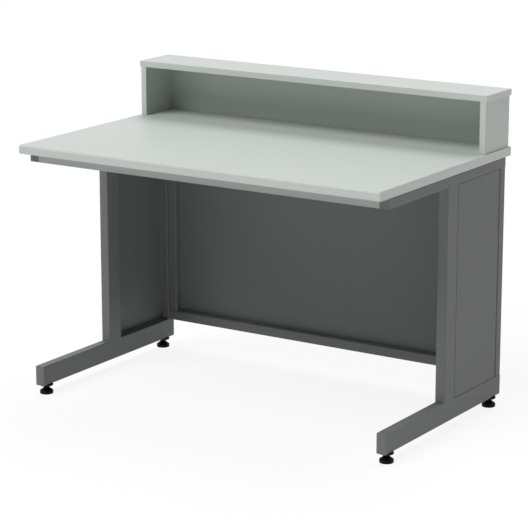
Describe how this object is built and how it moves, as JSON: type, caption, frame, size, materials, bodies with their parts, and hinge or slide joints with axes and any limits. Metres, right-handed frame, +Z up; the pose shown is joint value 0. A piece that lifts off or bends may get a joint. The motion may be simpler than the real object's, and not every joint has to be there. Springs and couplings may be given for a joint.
{
  "type": "lab bench with reagent shelf",
  "caption": "Free-standing lab bench: laminated worktop on C-shaped steel side frames with side and back panels, a raised reagent shelf along the back and levelling feet.",
  "frame": {"origin": "on the floor, under the middle of the worktop", "axes": "+X along the bench to the right as the user faces it, +Y from the front to the shelf at the back, +Z up"},
  "size_m": [1.208, 0.75, 0.932],
  "materials": {
    "laminate": "pale grey matt laminate on chipboard",
    "apron_laminate": "mid grey matt laminate on chipboard",
    "edge_band": "pale grey plastic edge band",
    "frame_paint": "dark grey powder coat, fine satin texture",
    "fastener_steel": "zinc plated",
    "dowel_wood": "bare beech",
    "foot_pad_plastic": "black moulded plastic",
    "foot_socket_plastic": "black moulded plastic",
    "foot_stud_steel": "black oxide steel"
  },
  "bodies": {
    "bench": {"apron_screws": "fastener_steel", "back_bottom_rail": "frame_paint", "back_frame_bolts": "frame_paint", "back_frame_nuts": "fastener_steel", "back_panel": "frame_paint", "back_panel_rivets": "frame_paint", "back_stile_left": "frame_paint", "back_stile_right": "frame_paint", "back_top_rail": "frame_paint", "foot_rail_front_plate_left": "frame_paint", "foot_rail_front_plate_right": "frame_paint", "foot_rail_left": "frame_paint", "foot_rail_rear_plate_left": "frame_paint", "foot_rail_rear_plate_right": "frame_paint", "foot_rail_right": "frame_paint", "foot_socket_front_left": "foot_socket_plastic", "foot_socket_front_right": "foot_socket_plastic", "foot_socket_rear_left": "foot_socket_plastic", "foot_socket_rear_right": "foot_socket_plastic", "front_apron": "apron_laminate", "front_post_left": "frame_paint", "front_post_right": "frame_paint", "rear_post_left": "frame_paint", "rear_post_right": "frame_paint", "shelf_back_panel": "laminate", "shelf_dowels": "dowel_wood", "shelf_panel_screws": "fastener_steel", "shelf_top": "laminate", "shelf_top_end_band_left": "edge_band", "shelf_top_end_band_right": "edge_band", "shelf_top_front_band": "edge_band", "shelf_upright_front_band_left": "edge_band", "shelf_upright_front_band_right": "edge_band", "shelf_upright_left": "laminate", "shelf_upright_right": "laminate", "shelf_upright_screws": "fastener_steel", "side_panel_left": "frame_paint", "side_panel_right": "frame_paint", "side_panel_rivets": "frame_paint", "top_rail_front_plate_left": "frame_paint", "top_rail_front_plate_right": "frame_paint", "top_rail_left": "frame_paint", "top_rail_rear_plate_left": "frame_paint", "top_rail_rear_plate_right": "frame_paint", "top_rail_right": "frame_paint", "worktop": "laminate", "worktop_end_band_left": "edge_band", "worktop_end_band_right": "edge_band", "worktop_rear_band": "edge_band", "worktop_screws": "fastener_steel"},
    "foot_pad_front_left": {"foot_pad_front_left": "foot_pad_plastic"},
    "foot_stud_front_left": {"foot_stud_front_left": "foot_stud_steel"},
    "foot_pad_front_right": {"foot_pad_front_right": "foot_pad_plastic"},
    "foot_stud_front_right": {"foot_stud_front_right": "foot_stud_steel"},
    "foot_pad_rear_left": {"foot_pad_rear_left": "foot_pad_plastic"},
    "foot_stud_rear_left": {"foot_stud_rear_left": "foot_stud_steel"},
    "foot_pad_rear_right": {"foot_pad_rear_right": "foot_pad_plastic"},
    "foot_stud_rear_right": {"foot_stud_rear_right": "foot_stud_steel"}
  },
  "joints": [
    {"name": "foot_front_left_extend", "type": "slide", "parent": "bench", "child": "foot_pad_front_left", "axis": [0, 0, -1], "range_m": [0, 0.025]},
    {"name": "foot_front_left_turn", "type": "hinge", "parent": "foot_pad_front_left", "child": "foot_stud_front_left", "pos_m": [-0.584, -0.295, 0.04], "axis": [0, 0, -1], "range_deg": [0, 6010]},
    {"name": "foot_front_right_extend", "type": "slide", "parent": "bench", "child": "foot_pad_front_right", "axis": [0, 0, -1], "range_m": [0, 0.025]},
    {"name": "foot_front_right_turn", "type": "hinge", "parent": "foot_pad_front_right", "child": "foot_stud_front_right", "pos_m": [0.584, -0.295, 0.04], "axis": [0, 0, -1], "range_deg": [0, 6010]},
    {"name": "foot_rear_left_extend", "type": "slide", "parent": "bench", "child": "foot_pad_rear_left", "axis": [0, 0, -1], "range_m": [0, 0.025]},
    {"name": "foot_rear_left_turn", "type": "hinge", "parent": "foot_pad_rear_left", "child": "foot_stud_rear_left", "pos_m": [-0.584, 0.305, 0.04], "axis": [0, 0, -1], "range_deg": [0, 6010]},
    {"name": "foot_rear_right_extend", "type": "slide", "parent": "bench", "child": "foot_pad_rear_right", "axis": [0, 0, -1], "range_m": [0, 0.025]},
    {"name": "foot_rear_right_turn", "type": "hinge", "parent": "foot_pad_rear_right", "child": "foot_stud_rear_right", "pos_m": [0.584, 0.305, 0.04], "axis": [0, 0, -1], "range_deg": [0, 6010]}
  ],
  "couplings": [
    {"joint": "foot_front_left_turn", "follows": "foot_front_left_extend", "rad_per_m": 4188.8},
    {"joint": "foot_front_right_turn", "follows": "foot_front_right_extend", "rad_per_m": 4188.8},
    {"joint": "foot_rear_left_turn", "follows": "foot_rear_left_extend", "rad_per_m": 4188.8},
    {"joint": "foot_rear_right_turn", "follows": "foot_rear_right_extend", "rad_per_m": 4188.8}
  ]
}
